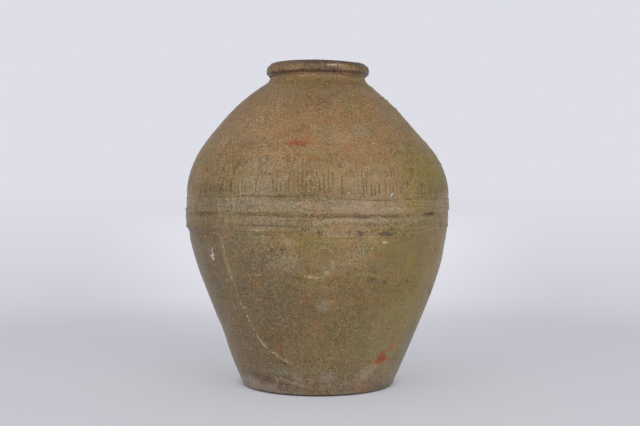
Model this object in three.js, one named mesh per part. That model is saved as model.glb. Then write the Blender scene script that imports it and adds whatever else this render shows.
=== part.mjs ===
// A hand-built stoneware wine jar, open at the mouth, in millimetres, with +Z up and the floor at Z 0.
// The potter forms the pieces one by one and lutes them together with slip while the clay is leather hard:
// a base disc, a lower wall, a shoulder wall, two girdle strips over the seam at the belly, a neck collar
// and a rolled rim. A coil pressed into each inside corner closes the two large seams.
// Every luted joint is a scarf, a cone that rises inwards, and slip fills the gap between its faces.
import * as THREE from "three";

// Overall form.
const JAR_HEIGHT = 340; // floor to the top of the rim, on the axis
const BELLY_RADIUS = 139.7; // widest radius of the wall
const BELLY_HEIGHT = 194; // height of that widest radius
const WALL = 9; // thickness of the lower and shoulder walls

// Base disc.
const FOOT_RADIUS = 80.4; // radius of the foot, before its lower edge is rounded
const FOOT_ROUND = 1.6; // rounding of the lower edge
const BASE_FLARE = 2; // how much wider the disc is where the wall stands on it
const BASE_THICKNESS = 12;

// Luted joints.
const SCARF_RISE = 5; // how far a scarf climbs from its outer edge to its inner edge
const SLIP_GAP = 0.3; // layer of slip between two luted faces

// Girdle: two clay strips laid in a shallow seat that is turned across the belly seam.
const GIRDLE_ABOVE_BELLY = 6.4; // top of the upper strip, above the widest radius
const UPPER_STRIP_WIDTH = 16;
const LOWER_STRIP_WIDTH = 15.3;
const GROOVE_WIDTH = 2.6; // groove tooled into the lower strip along its joint with the upper one
const GROOVE_DEPTH = 1.2;
const SEAT_DEPTH = 3.2; // depth of the seat in the wall
const STRIP_TOP_PROUD = 0.1; // how far a strip stands out from the wall at its upper edge
const STRIP_LIP_PROUD = 0.7; // and at the lip along its lower edge
const STRIP_LIP = 2.4; // height of that lip
const STRIP_ROUND = 0.7; // rounding of the strips' edges
const TOOL_LINE_DEPTH = 0.7; // tooled line round the lower strip
const TOOL_LINE_WIDTH = 1.6;

// Neck and rim.
const NECK_HEIGHT = 23; // foot of the collar to the top of the rim
const NECK_RADIUS = 50.3; // outside of the collar, under the rim
const NECK_FLARE = 6.1; // how much wider the collar is at its foot
const NECK_WALL = 8.3;
const RIM_HEIGHT = 13.6; // height of the roll
const RIM_OVERHANG = 4.3; // how far the roll stands out from the collar
const RIM_LAP = 3.4; // how far the roll hangs down outside the collar's top edge
const RIM_LOWER_ROUND = 3;
const RIM_UPPER_ROUND = 5.2;
const RIM_INNER_ROUND = 3.2;
const RIM_TOP_FALL = 0.8; // fall of the rim's top face towards the mouth

// Coils pressed into the inside corners.
const CORNER_COIL = 11; // height of the coil up the wall above the base disc
const BELLY_COIL_WIDTH = 22; // height of the band that covers the belly seam inside
const BELLY_COIL_RISE = 3; // how far that band stands out from the wall

// Curve of the outer wall: shares of the way between its ends, and slopes from upright, in degrees.
const FOOT_SLOPE = 24.6;
const LOWER_BREAK_UP = 0.405; // height of the break in the lower wall, on the way from base to belly
const LOWER_BREAK_OUT = 0.533; // its radius, on the way from base to belly
const LOWER_BREAK_SLOPE = 22.2;
const SHOULDER_BREAK_UP = 0.5; // height of the shoulder's break, on the way from belly to neck
const SHOULDER_BREAK_OUT = 0.743; // its radius, on the way from neck to belly
const SHOULDER_BREAK_SLOPE = 40;
const SHOULDER_TOP_SLOPE = 57.8;
const HANDLE_SHARE = 0.36; // length of a curve's handles beside its chord

// How the jar settled as it dried: the wall leans a little at two heights and the mouth is not level.
const SHOULDER_LEAN = -3.5; // sideways shift of the shoulder
const SHOULDER_LEAN_UP = 0.69; // height of its middle, on the way from belly to neck
const SHOULDER_LEAN_SPREAD = 36;
const LOWER_LEAN = 1.8; // sideways shift of the lower wall
const LOWER_LEAN_UP = 0.44; // height of its middle, on the way from floor to belly
const LOWER_LEAN_SPREAD = 55;
const MOUTH_TILT = 1; // degrees, down towards +X

// Facets.
const SIDES = 56; // round the jar
const WALL_STEPS = 5; // along each stretch of the wall's curve
const NECK_STEPS = 4;
const ROUND_STEPS = 2; // along a rounded edge
const COIL_STEPS = 4;

// Heights and radii that follow from the sizes above.
const neckFoot = JAR_HEIGHT - NECK_HEIGHT;
const rimBottom = JAR_HEIGHT - RIM_HEIGHT;
const rimRadius = NECK_RADIUS + RIM_OVERHANG;
const mouthRadius = NECK_RADIUS - NECK_WALL;
const baseEdge = BASE_THICKNESS - SCARF_RISE;
const girdleTop = BELLY_HEIGHT + GIRDLE_ABOVE_BELLY;
const grooveTop = girdleTop - UPPER_STRIP_WIDTH;
const grooveBottom = grooveTop - GROOVE_WIDTH;
const girdleBottom = grooveBottom - LOWER_STRIP_WIDTH;
const bellySeam = girdleTop - UPPER_STRIP_WIDTH / 2; // outer edge of the seam, behind the upper strip

const lerp = THREE.MathUtils.lerp;
const at = (radius, height) => new THREE.Vector2(radius, height);

// A point of the outline, and the way the outline heads there as it climbs.
function station(radius, height, slope) {
  const angle = THREE.MathUtils.degToRad(slope);
  return { point: at(radius, height), heading: at(Math.sin(angle), Math.cos(angle)) };
}

// A smooth curve from one station up to the next.
function stretch(from, to) {
  const reach = HANDLE_SHARE * from.point.distanceTo(to.point);
  return new THREE.CubicBezierCurve(
    from.point,
    from.point.clone().addScaledVector(from.heading, reach),
    to.point.clone().addScaledVector(to.heading, -reach),
    to.point,
  );
}

const baseRadius = FOOT_RADIUS + BASE_FLARE;
const neckFootRadius = NECK_RADIUS + NECK_FLARE;
const shoulderTop = station(neckFootRadius, neckFoot, -SHOULDER_TOP_SLOPE);
const outline = [
  station(baseRadius, baseEdge, FOOT_SLOPE),
  station(
    lerp(baseRadius, BELLY_RADIUS, LOWER_BREAK_OUT),
    lerp(baseEdge, BELLY_HEIGHT, LOWER_BREAK_UP),
    LOWER_BREAK_SLOPE,
  ),
  station(BELLY_RADIUS, BELLY_HEIGHT, 0),
  station(
    lerp(neckFootRadius, BELLY_RADIUS, SHOULDER_BREAK_OUT),
    lerp(BELLY_HEIGHT, neckFoot, SHOULDER_BREAK_UP),
    -SHOULDER_BREAK_SLOPE,
  ),
  shoulderTop,
];

// The wall's curve at a depth under its outer face, from the base up to the neck.
function wallCurve(depth) {
  return outline.slice(1).flatMap((to, index) => {
    const curve = stretch(outline[index], to);
    const first = index === 0 ? 0 : 1; // a stretch starts where the one below it ends
    return Array.from({ length: WALL_STEPS + 1 - first }, (_, step) => {
      const share = (step + first) / WALL_STEPS;
      const along = curve.getTangent(share);
      return curve.getPoint(share).add(at(-along.y, along.x).multiplyScalar(depth));
    });
  });
}

// The point at a height on a curve whose points climb; its first or last leg is carried on past the ends.
function pointAt(points, height) {
  const found = points.findIndex((point, index) => index > 0 && point.y >= height);
  const upper = found < 0 ? points.length - 1 : found;
  const [below, above] = [points[upper - 1], points[upper]];
  return below.clone().lerp(above, (height - below.y) / (above.y - below.y));
}

// The stretch of a climbing curve between two heights.
function between(points, low, high) {
  const inside = points.filter((point) => point.y > low && point.y < high);
  return [pointAt(points, low), ...inside, pointAt(points, high)];
}

const outerFace = wallCurve(0);
const innerFace = wallCurve(WALL);
const seatFace = wallCurve(SEAT_DEPTH);
const downwards = (points) => [...points].reverse();

// Moves a round piece the way the drying jar settled. All pieces share it, so their joints stay closed.
function settle(geometry) {
  const lean = (height, size, middle, spread) => size * Math.exp(-(((height - middle) / spread) ** 2));
  const shoulderMiddle = lerp(BELLY_HEIGHT, neckFoot, SHOULDER_LEAN_UP);
  const lowerMiddle = BELLY_HEIGHT * LOWER_LEAN_UP;
  const fall = Math.tan(THREE.MathUtils.degToRad(MOUTH_TILT));
  const place = geometry.getAttribute("position");
  for (let i = 0; i < place.count; i++) {
    const [x, z] = [place.getX(i), place.getZ(i)];
    const shift =
      lean(z, SHOULDER_LEAN, shoulderMiddle, SHOULDER_LEAN_SPREAD) +
      lean(z, LOWER_LEAN, lowerMiddle, LOWER_LEAN_SPREAD);
    place.setX(i, x + shift);
    place.setZ(i, z - x * fall * THREE.MathUtils.smoothstep(z, neckFoot - NECK_HEIGHT, rimBottom));
  }
  return geometry;
}

// A ring from a closed section that runs up its outer side and down its inner side.
function ring(section) {
  return settle(new THREE.LatheGeometry([...section, section[0]], SIDES).rotateX(Math.PI / 2));
}

// The flat disc that the jar stands on, with a scarf round its top for the wall.
function baseDisc() {
  const section = new THREE.Path();
  section.moveTo(0, 0);
  section.lineTo(FOOT_RADIUS - FOOT_ROUND, 0);
  section.absarc(FOOT_RADIUS - FOOT_ROUND, FOOT_ROUND, FOOT_ROUND, -Math.PI / 2, 0);
  section.lineTo(baseRadius, baseEdge);
  section.lineTo(pointAt(innerFace, BASE_THICKNESS).x, BASE_THICKNESS);
  section.lineTo(0, BASE_THICKNESS);
  return settle(new THREE.LatheGeometry(section.getPoints(ROUND_STEPS), SIDES).rotateX(Math.PI / 2));
}

// The tapering wall from the base to the belly, with the lower part of the girdle's seat.
function lowerWall() {
  const seamInside = bellySeam + SCARF_RISE;
  return ring([
    ...between(outerFace, baseEdge + SLIP_GAP, girdleBottom),
    ...between(seatFace, girdleBottom, bellySeam),
    ...downwards(between(innerFace, BASE_THICKNESS + SLIP_GAP, seamInside)),
  ]);
}

// The wall that closes in from the belly to the neck, with the upper part of the girdle's seat.
function shoulderWall() {
  const seamInside = bellySeam + SCARF_RISE + SLIP_GAP;
  return ring([
    ...between(seatFace, bellySeam + SLIP_GAP, girdleTop),
    ...between(outerFace, girdleTop, neckFoot),
    ...downwards(between(innerFace, seamInside, innerFace.at(-1).y)),
  ]);
}

// The outer side of a strip with rounded edges: flat, widening down to a lip along its lower edge.
function stripFace(low, high) {
  const lipTop = low + STRIP_LIP;
  const flatFoot = lipTop + STRIP_LIP;
  const proud = (height) => (height > lipTop ? STRIP_TOP_PROUD : STRIP_LIP_PROUD);
  const surface = (height) => pointAt(outerFace, height).x + proud(height);
  const heights = [low + STRIP_ROUND, lipTop, flatFoot, high - STRIP_ROUND];
  return [
    at(surface(low) - STRIP_ROUND, low),
    ...heights.map((height) => at(surface(height), height)),
    at(surface(high) - STRIP_ROUND, high),
  ];
}

// A line tooled round a strip halfway between two heights of its face.
function withToolLine(face, low, high) {
  const middle = (low + high) / 2;
  const surface = pointAt(face, middle).x;
  const line = [-1, 0, 1].map((side) =>
    at(surface - (side === 0 ? TOOL_LINE_DEPTH : 0), middle + (side * TOOL_LINE_WIDTH) / 2),
  );
  const clear = face.filter((point) => Math.abs(point.y - middle) > TOOL_LINE_WIDTH / 2 + SLIP_GAP);
  return [...clear, ...line].sort((a, b) => a.y - b.y);
}

// A strip from its face and the back that lies in the seat.
function strip(low, high, face) {
  const back = wallCurve(SEAT_DEPTH - SLIP_GAP);
  return ring([...face, ...downwards(between(back, low, high))]);
}

function girdleUpperStrip() {
  const [low, high] = [grooveTop + SLIP_GAP, girdleTop - SLIP_GAP];
  return strip(low, high, stripFace(low, high));
}

// The lower strip carries a tooled line, and the groove along its upper edge.
function girdleLowerStrip() {
  const low = girdleBottom + SLIP_GAP;
  const face = withToolLine(stripFace(low, grooveBottom), low, grooveBottom);
  const groove = between(wallCurve(GROOVE_DEPTH), grooveBottom, grooveTop);
  return strip(low, grooveTop, [...face, ...groove]);
}

// The short collar that turns up out of the shoulder to carry the rim.
function neckCollar() {
  const lift = shoulderTop.heading.clone().multiplyScalar(SLIP_GAP);
  const footOutside = { point: shoulderTop.point.clone().add(lift), heading: shoulderTop.heading };
  const footInside = { point: innerFace.at(-1).clone().add(lift), heading: shoulderTop.heading };
  const outside = stretch(footOutside, station(NECK_RADIUS, rimBottom, 0));
  const inside = stretch(footInside, station(mouthRadius, rimBottom, 0));
  return ring([
    ...outside.getPoints(NECK_STEPS),
    at(NECK_RADIUS, rimBottom + RIM_LAP),
    at(mouthRadius, rimBottom + RIM_LAP + SCARF_RISE / 2),
    ...downwards(inside.getPoints(NECK_STEPS)),
  ]);
}

// The rolled rim: it sits on the collar's scarfed edge and hangs a lap down outside it.
function rimRoll() {
  const lapInside = NECK_RADIUS + SLIP_GAP;
  const seat = rimBottom + RIM_LAP + SLIP_GAP;
  const section = new THREE.Path();
  section.moveTo(lapInside, rimBottom + SLIP_GAP);
  section.lineTo(rimRadius - RIM_LOWER_ROUND, rimBottom);
  section.absarc(rimRadius - RIM_LOWER_ROUND, rimBottom + RIM_LOWER_ROUND, RIM_LOWER_ROUND, -Math.PI / 2, 0);
  section.absarc(rimRadius - RIM_UPPER_ROUND, JAR_HEIGHT - RIM_UPPER_ROUND, RIM_UPPER_ROUND, 0, Math.PI / 2);
  const innerTop = JAR_HEIGHT - RIM_TOP_FALL;
  section.absarc(
    mouthRadius + RIM_INNER_ROUND,
    innerTop - RIM_INNER_ROUND,
    RIM_INNER_ROUND,
    Math.PI / 2,
    Math.PI,
  );
  section.lineTo(mouthRadius, seat + SCARF_RISE / 2);
  section.lineTo(lapInside, seat);
  return ring(section.getPoints(ROUND_STEPS));
}

// The coil thumbed into the corner between the base disc and the lower wall.
function cornerCoil() {
  const back = wallCurve(WALL + SLIP_GAP);
  const floor = BASE_THICKNESS + SLIP_GAP;
  const [foot, head] = [pointAt(back, floor), pointAt(back, floor + CORNER_COIL)];
  const toe = at(foot.x - CORNER_COIL, floor);
  const hollow = new THREE.QuadraticBezierCurve(head, at(foot.x, floor + CORNER_COIL / 4), toe);
  return ring([...between(back, floor, floor + CORNER_COIL), ...hollow.getPoints(COIL_STEPS).slice(1)]);
}

// The band of clay smeared over the belly seam inside, thickest along the seam and feathered to its edges.
function bellyCoil() {
  const middle = bellySeam + SCARF_RISE;
  const [low, high] = [middle - BELLY_COIL_WIDTH / 2, middle + BELLY_COIL_WIDTH / 2];
  const back = between(wallCurve(WALL + SLIP_GAP), low, high);
  const crown = Array.from({ length: COIL_STEPS - 1 }, (_, step) => {
    const share = (step + 1) / COIL_STEPS;
    const height = lerp(high, low, share);
    return at(pointAt(back, height).x - BELLY_COIL_RISE * Math.sin(Math.PI * share), height);
  });
  return ring([...back, ...crown]);
}

// Fired clay and glaze: bare clay inside and underneath, olive ash glaze outside.
const clay = () => new THREE.MeshStandardMaterial({ color: 0x8a6a4c, roughness: 0.9, metalness: 0 });
const glaze = (color) => new THREE.MeshStandardMaterial({ color, roughness: 0.55, metalness: 0 });

const pieces = {
  base_disc: [baseDisc, clay()],
  base_corner_coil: [cornerCoil, clay()],
  lower_wall: [lowerWall, glaze(0x75653e)],
  belly_seam_coil: [bellyCoil, clay()],
  girdle_upper_strip: [girdleUpperStrip, glaze(0x88784f)],
  girdle_lower_strip: [girdleLowerStrip, glaze(0x80703f)],
  shoulder_wall: [shoulderWall, glaze(0x8a7048)],
  neck_collar: [neckCollar, glaze(0x86693f)],
  rim_roll: [rimRoll, glaze(0x6b5436)],
};

const jar = new THREE.Group();
for (const [name, [shape, material]] of Object.entries(pieces)) {
  const mesh = new THREE.Mesh(shape(), material);
  mesh.name = name;
  jar.add(mesh);
}

export default jar;
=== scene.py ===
"""A hand-built stoneware wine jar with a worn olive ash glaze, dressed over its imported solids."""
import math
from functools import reduce
from itertools import accumulate

import bmesh
import bpy
import numpy as np
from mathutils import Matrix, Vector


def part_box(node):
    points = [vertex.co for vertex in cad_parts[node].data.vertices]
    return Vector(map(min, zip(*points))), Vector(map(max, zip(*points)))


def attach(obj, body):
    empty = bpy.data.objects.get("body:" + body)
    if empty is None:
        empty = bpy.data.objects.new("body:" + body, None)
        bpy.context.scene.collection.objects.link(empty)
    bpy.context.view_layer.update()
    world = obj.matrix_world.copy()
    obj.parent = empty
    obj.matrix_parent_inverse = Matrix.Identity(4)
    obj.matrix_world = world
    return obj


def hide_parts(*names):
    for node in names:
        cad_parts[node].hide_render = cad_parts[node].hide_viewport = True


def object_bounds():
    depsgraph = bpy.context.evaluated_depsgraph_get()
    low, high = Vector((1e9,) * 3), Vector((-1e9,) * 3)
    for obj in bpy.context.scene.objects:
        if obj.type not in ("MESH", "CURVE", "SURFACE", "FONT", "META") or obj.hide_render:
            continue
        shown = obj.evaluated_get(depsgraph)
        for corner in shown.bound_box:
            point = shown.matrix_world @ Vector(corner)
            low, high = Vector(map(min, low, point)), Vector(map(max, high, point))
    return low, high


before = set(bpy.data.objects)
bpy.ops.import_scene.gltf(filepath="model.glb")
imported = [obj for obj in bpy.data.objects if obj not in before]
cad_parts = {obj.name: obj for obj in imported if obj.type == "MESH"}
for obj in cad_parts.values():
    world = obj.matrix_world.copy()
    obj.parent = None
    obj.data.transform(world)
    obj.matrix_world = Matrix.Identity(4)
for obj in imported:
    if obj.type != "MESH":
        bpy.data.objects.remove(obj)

CAD_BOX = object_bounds()
MM = 0.001
BODY = "root"

# Camera, fitted to the photograph's outline: it stands in front of the jar, at -Y.
IMAGE_WIDTH = 640  # pixels
SENSOR_WIDTH = 36.0  # mm
CAMERA_LENS = 59.77  # mm
CAMERA_DISTANCE = 1.1388
CAMERA_HEIGHT = 0.2116
CAMERA_TILT = 1.48  # degrees down
JAR_OFF_CENTRE = 2.13  # pixels that the jar's axis stands left of the picture's middle

# Meshes: spacing of points along a section, and how many columns go round the jar.
OUTER_STEP = 1.8 * MM
EDGE_STEP = 0.7 * MM  # on the narrow faces of the girdle
INNER_STEP = 3.2 * MM
JOINT_STEP = 6.0 * MM
FINE, MEDIUM, COARSE = 1440, 720, 240
CORNER = math.radians(32)  # a sharper turn of a section than this stays a corner
CREASE = math.radians(55)  # a sharper edge of a mesh than this is shaded as an edge
SLIP_SHARE = 0.17 * MM  # each piece grows by its half of the slip that fills a joint
SAME_POINT = 1e-6
AXIS_REACH = 4 * MM  # a point nearer the plane X 0 than this is on the leaning axis
LONG_RUN = 20 * MM
SKIN_DEPTH = 2.2 * MM  # a run nearer the jar's outer surface than this belongs to it
FACING = 0.3  # a run whose mean normal points further out or in than this is part of a wall
ENVELOPE_LEVELS = 1400

# Places on the jar are a turn in degrees (0 at the front, 90 at the right) and a height in mm. A sector is a
# turn and a half width. Two heights in a pair are where something sets in or, the higher first, fades.
# Combed strokes above the girdle: rows of lowest and highest point and strength.
COMB_PITCH = 4.1
COMB_WIDTH = 0.58
COMB_DEPTH = 0.5
COMB_BAND = (202.0, 242.0)
COMB_RADIUS = 137.0
COMB_ROWS = ((204.5, 216.0, 1.0), (221.0, 226.5, 0.9), (232.5, 238.5, 0.55))
COMB_JOINED = (0, 18)  # sector where the two lower rows run together
COMB_JOINED_RISE = 4.5  # how much higher the lowest row reaches there
STROKE_BOTTOM, STROKE_TOP = 2.2, 7.0  # mm over which the ends of strokes vary
STROKE_SHIFT = 0.42  # share of the pitch over which their places vary
STROKE_LEAN, STROKE_PIVOT = 0.02, 215  # the same for their lean per mm, and the height that they lean about
STROKE_SOFT = (0.9, 1.0)  # softness of their lower and upper ends
STROKE_FORCE = (-0.15, 0.55)  # draws between which their strength rises from nothing to full
PLACE_SEED, LENGTH_SEED = 11, 20
# Where the combing is still sharp: turn, half width and strength.
COMB_SHARP = (
    (-2, 16.25, 1.0), (12, 16.25, 0.95), (28, 16.25, 1.0), (55, 16.25, 1.0), (-19, 15, 0.55),
    (-34, 16.25, 0.5), (128, 32.5, 0.8), (-140, 50, 0.7),
)
COMB_WORN = 0.16  # strength elsewhere

# Girdle: the height of the groove between its strips, and how far from there glaze fills it.
GROOVE = 183.1
GROOVE_REACH = 2.1
# Where glaze has filled the groove, and where it is bare, wide and dark: turn, half width and share.
GROOVE_FILLED = (
    (23.8, 3.4, 1.0), (36.1, 3.0, 1.0), (45, 5, 0.9), (-40, 9, 0.4), (-86, 24, 0.75), (90, 28, 0.75),
    (140, 20, 0.6), (-150, 25, 0.5),
)
GROOVE_BARE = (
    (18, 4.2, 0.45), (30, 4.2, 0.6), (39.2, 1.3, 0.8), (54, 5.6, 0.9), (-6, 22, 0.5), (-54, 12, 0.35),
    (165, 12, 0.8),
)
# The dark line along its upper edge: its height, where it is whole (as above) and where it is broad.
UPPER_LINE = 200.4
UPPER_WHOLE = ((-22, 17, 1.0), (23, 12, 0.5), (56, 7, 0.5), (-9, 11, 0.6))
UPPER_BROAD = (-9, 11)
# Its fine lines: height, half width, darkness of their dashes, share of these that is worn away in one
# sector, and the sector where they are whole, with their darkness there.
FINE_LINES = (
    (190.4, 0.7, 0, 0, (-35, 26), 0.22), (173.2, 0.8, 0.25, 0.8, (-20, 22), 0.5),
    (168.8, 0.9, 0, 0, (-58, 24), 0.4), (165.4, 0.6, 0.3, 0, (-22, 14), 0.7),
    (162.4, 0.9, 0, 0, (-58, 24), 0.4),
)
LINES_WORN = (32, 38)  # that sector
# How far the girdle's upper edge and its groove wander up or down, by turn.
UPPER_EDGE = (
    (-95, 0), (-60, 0.8), (-33, 1.4), (-15, 0.9), (-5, 0.2), (4, -0.9), (20, -2.4), (40, -2.5),
    (65, -1.8), (100, 0),
)
GROOVE_EDGE = (
    (-95, 0), (-50, 0.6), (-30, 0.5), (-10, -0.1), (10, -1.0), (25, -1.6), (40, -1.0), (55, 0.1), (90, 0),
)
EDGES = ((UPPER_EDGE, (188, 197), (224, 206)), (GROOVE_EDGE, (174, 180), (193, 187)))
GIRDLE_NEAR = ((140, 165), (222, 202))  # where the whole girdle wanders a little
GIRDLE_RISE, GIRDLE_FALL = (157.0, 161.0), (209.0, 204.0)  # where its shape is softened
GIRDLE_SOFT = 0.7  # spread that softens its edges
GIRDLE_PLAIN = 7.0  # spread that smooths its grooves away
GIRDLE_MARGIN, GIRDLE_STEP = 25, 0.25
LOW_WORN, LOW_WORN_BELOW = (6, 28), (176, 171)  # sector and heights where its lower edge is worn most

# Dents and chips: turn, height, half width in degrees, half height and depth in mm.
DENTS = (
    (43.2, 117, 1.4, 2.4, 0.5), (24.5, 120, 2.6, 2.6, 0.4), (30.2, 117.5, 1.3, 2.2, 0.45),
    (61.8, 148, 1.3, 2.4, 0.5), (73, 102, 2.4, 9, 0.7), (16.5, 165.3, 2.0, 2.4, 0.5),
    (28.2, 165, 3.8, 2.4, 0.6), (37, 163.6, 1.3, 1.9, 0.5), (41.5, 163.6, 1.5, 1.9, 0.5),
    (0.2, 166, 1.2, 2.8, 0.4), (-14.5, 150, 2.0, 3.2, 0.3), (42, 38, 4.5, 6, 0.35),
    (-24, 4, 7, 6, 0.7), (12, 2, 9, 4, 0.6), (61, 3, 8, 5, 0.8), (-66, 3, 9, 5, 0.7),
    (-120, 4, 12, 7, 0.9), (150, 3, 14, 5, 0.8), (118, 60, 5, 12, 0.5), (-155, 130, 4, 7, 0.5),
    (78, 341, 26, 7, 0.9), (160, 340, 14, 6, 1.0), (-26, 190.5, 0.8, 1.2, 0.5),
)
# A pale crack in the glaze of the lower wall, as height and turn.
CRACK = (
    (30, -9.5), (33, -13), (36.5, -18.5), (44, -25.5), (56, -33.6), (75, -38), (102, -41), (134, -43),
    (162, -43.8),
)
CRACK_DEPTH, CRACK_WIDTH = 0.3, 0.45  # in mm and degrees
CRACK_ENDS = ((28, 34), (162, 150))
TURNING_PITCH, TURNING_DEPTH = 7.3, 0.07  # faint lines from the wheel
CRUSTED, CRUSTED_ABOVE = (88, 45), (210, 250)  # sector and heights where crusts stand on the glaze
CRUST_HEIGHT = 0.4
RIDGE_PITCH, RIDGE_DEPTH = 12.5, 0.4  # throwing ridges inside
RIM_ROUNDING = 1.3  # how far wear takes the corners of the lip back
RIM_FROM = (325.5, 327.5)
FOOT_PLAIN = (0.5, 5)  # where the wall's relief sets in
FOOT_UNDERCUT, FOOT_EDGE = 1.8, 3.2  # depth and height of the wear along the foot's lower edge
# Where the hand left the jar uneven: turn, half width, lowest and highest level, softness, outward move.
UNEVEN = (
    (-92, 75, 322, 350, 18, -1.1), (90, 60, 296, 316, 8, -0.9), (-90, 40, 166, 187, 3, 1.6),
    (90, 50, 140, 158, 10, -0.7), (-90, 50, 45, 70, 10, -0.7), (-90, 50, 268, 290, 10, -0.5),
)
LIP_RISE = 1.8  # how much higher the lip stands on the right
LIP_RISE_AT = (95, 50)
LIP_RISE_FROM = (306, 324)
# Noises of the relief: distance between lumps, seed and, apart from the last two, size.
WALL_BUMPS = ((70, 1, 0.35), (24, 2, 0.18), (9, 3, 0.1), (4, 7, 0.05))
COMB_PATCHES, GIRDLE_WANDER = ((22, 5, 0.14), (7, 6, 0.1)), ((55, 30, 0.7), (16, 31, 0.25))
FILL_PATCHES, GIRDLE_PATCHES, INNER_BUMPS = (22, 40, 0.45), (28, 42, 0.5), (40, 22, 0.4)
LINES_RAGGED, TURNING_SWAY, RIDGE_SWAY = (5, 43, 0.35), (50, 4, 1.5), (60, 21, 1.8)
DASHES, CRUSTS = (9, 41), (4.5, 8)


def smoothstep(value, low, high):
    """0 below low, 1 above high and a smooth rise between them; low may be above high for a fall."""
    share = np.clip((value - low) / (high - low), 0, 1)
    return share * share * (3 - 2 * share)


def within(value, rise, fall):
    """1 between a rise and a fall, each given by where it starts and where it ends."""
    return smoothstep(value, *rise) * smoothstep(value, *fall)


def soft_ends(low, high, low_soft, high_soft):
    """The rise and the fall that make a range soft at its ends."""
    return (low - low_soft, low + low_soft), (high + high_soft, high - high_soft)


# Noise for the relief

def hashed(cells, seed):
    """A repeatable number from 0 to 1 for each row of whole numbers."""
    mixed = cells[..., 0] * 73856093 ^ cells[..., 1] * 19349663 ^ cells[..., 2] * 83492791 ^ seed * 2654435761
    mixed = (mixed ^ (mixed >> 13)) * 1274126177 & 0xFFFFFFFF
    mixed = (mixed ^ (mixed >> 16)) * 2246822519 & 0xFFFFFFFF
    return (mixed ^ (mixed >> 15)) / 0xFFFFFFFF


def noise(points, size, seed):
    """Smooth noise from -1 to 1 at points in space; size is the distance between its lumps."""
    place = points / size
    cell = np.floor(place).astype(np.int64)
    share = smoothstep(place - cell, 0, 1)
    total = np.zeros(len(points))
    for corner in np.ndindex(2, 2, 2):
        weight = np.prod(np.where(corner, share, 1 - share), axis=1)
        total += weight * hashed(cell + np.array(corner), seed)
    return 2 * total - 1


def bumps(points, *kinds):
    """The sum of noises, each given by the distance between its lumps, seed and size."""
    return sum(size * noise(points, apart, seed) for apart, seed, size in kinds)


# Sections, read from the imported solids

def side_column(mesh, side):
    """A node's section on its right (side 1) or left (-1): points (x, z) in order, outer side going up."""
    on_plane = [v for v in mesh.verts if abs(v.co.y) < SAME_POINT and side * v.co.x > -AXIS_REACH]
    kept = set(on_plane)
    beside = {v: [e.other_vert(v) for e in v.link_edges if e.other_vert(v) in kept] for v in on_plane}
    for point in on_plane:
        if abs(point.co.x) < AXIS_REACH:
            beside[point] = [v for v in beside[point] if abs(v.co.x) > AXIS_REACH]
    start = min(on_plane, key=lambda v: (len(beside[v]), round(v.co.z, 5), -abs(v.co.x)))
    path = [start]
    while onward := [v for v in beside[path[-1]] if v not in path]:
        path.append(onward[0])
    column = np.array([(v.co.x, v.co.z) for v in path])
    across, up = side * column[:, 0], column[:, 1]
    area = np.sum(across * np.roll(up, -1) - np.roll(across, -1) * up)
    return column if area > 0 else np.vstack([column[:1], column[:0:-1]])


def section_of(node):
    """A node's section as rows of radius, height, lean (sideways shift) and tilt (fall per metre to +X)."""
    mesh = bmesh.new()
    mesh.from_mesh(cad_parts[node].data)
    bmesh.ops.remove_doubles(mesh, verts=mesh.verts, dist=SAME_POINT)
    right, left = side_column(mesh, 1), side_column(mesh, -1)
    mesh.free()
    radius = (right[:, 0] - left[:, 0]) / 2
    lean = (right[:, 0] + left[:, 0]) / 2
    height = (right[:, 1] + left[:, 1]) / 2
    tilt = (left[:, 1] - right[:, 1]) / 2 / np.maximum(radius, SAME_POINT)
    return np.column_stack([radius, height, lean, tilt])


def unit(rows):
    return rows / np.maximum(np.linalg.norm(rows, axis=1, keepdims=True), 1e-12)


def headings(section):
    """Unit steps from each point of a section to the next, and to it from the one before."""
    flat = section[:, :2]
    ahead = unit(np.roll(flat, -1, 0) - flat)
    return ahead, np.roll(ahead, 1, 0)


def grown(section, closed):
    """The section with its faces moved out by the slip's share, so that neighbours meet."""
    ahead, behind = headings(section)
    if not closed:
        ahead[-1], behind[0] = behind[-1], ahead[0]
    out = unit(np.column_stack([ahead[:, 1] + behind[:, 1], -ahead[:, 0] - behind[:, 0]]))
    miter = np.sum(out * np.column_stack([ahead[:, 1], -ahead[:, 0]]), axis=1)
    moved = section.copy()
    moved[:, :2] += out * (SLIP_SHARE / np.maximum(miter, 0.5))[:, None]
    moved[:, :2] = np.where(section[:, :2] < SAME_POINT, 0, moved[:, :2])
    return moved


def runs_of(section, closed):
    """The section cut at its corners into smooth runs, each an array of points."""
    ahead, behind = headings(section)
    turn = np.arccos(np.clip(np.sum(ahead * behind, axis=1), -1, 1))
    count = len(section)
    corners = [i for i in range(count) if turn[i] > CORNER or (not closed and i in (0, count - 1))]
    if closed:
        section = np.roll(section, -corners[0], 0)
        corners = [i - corners[0] for i in corners] + [count]
        section = np.vstack([section, section[:1]])
    return [section[a:b + 1] for a, b in zip(corners, corners[1:])]


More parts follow.
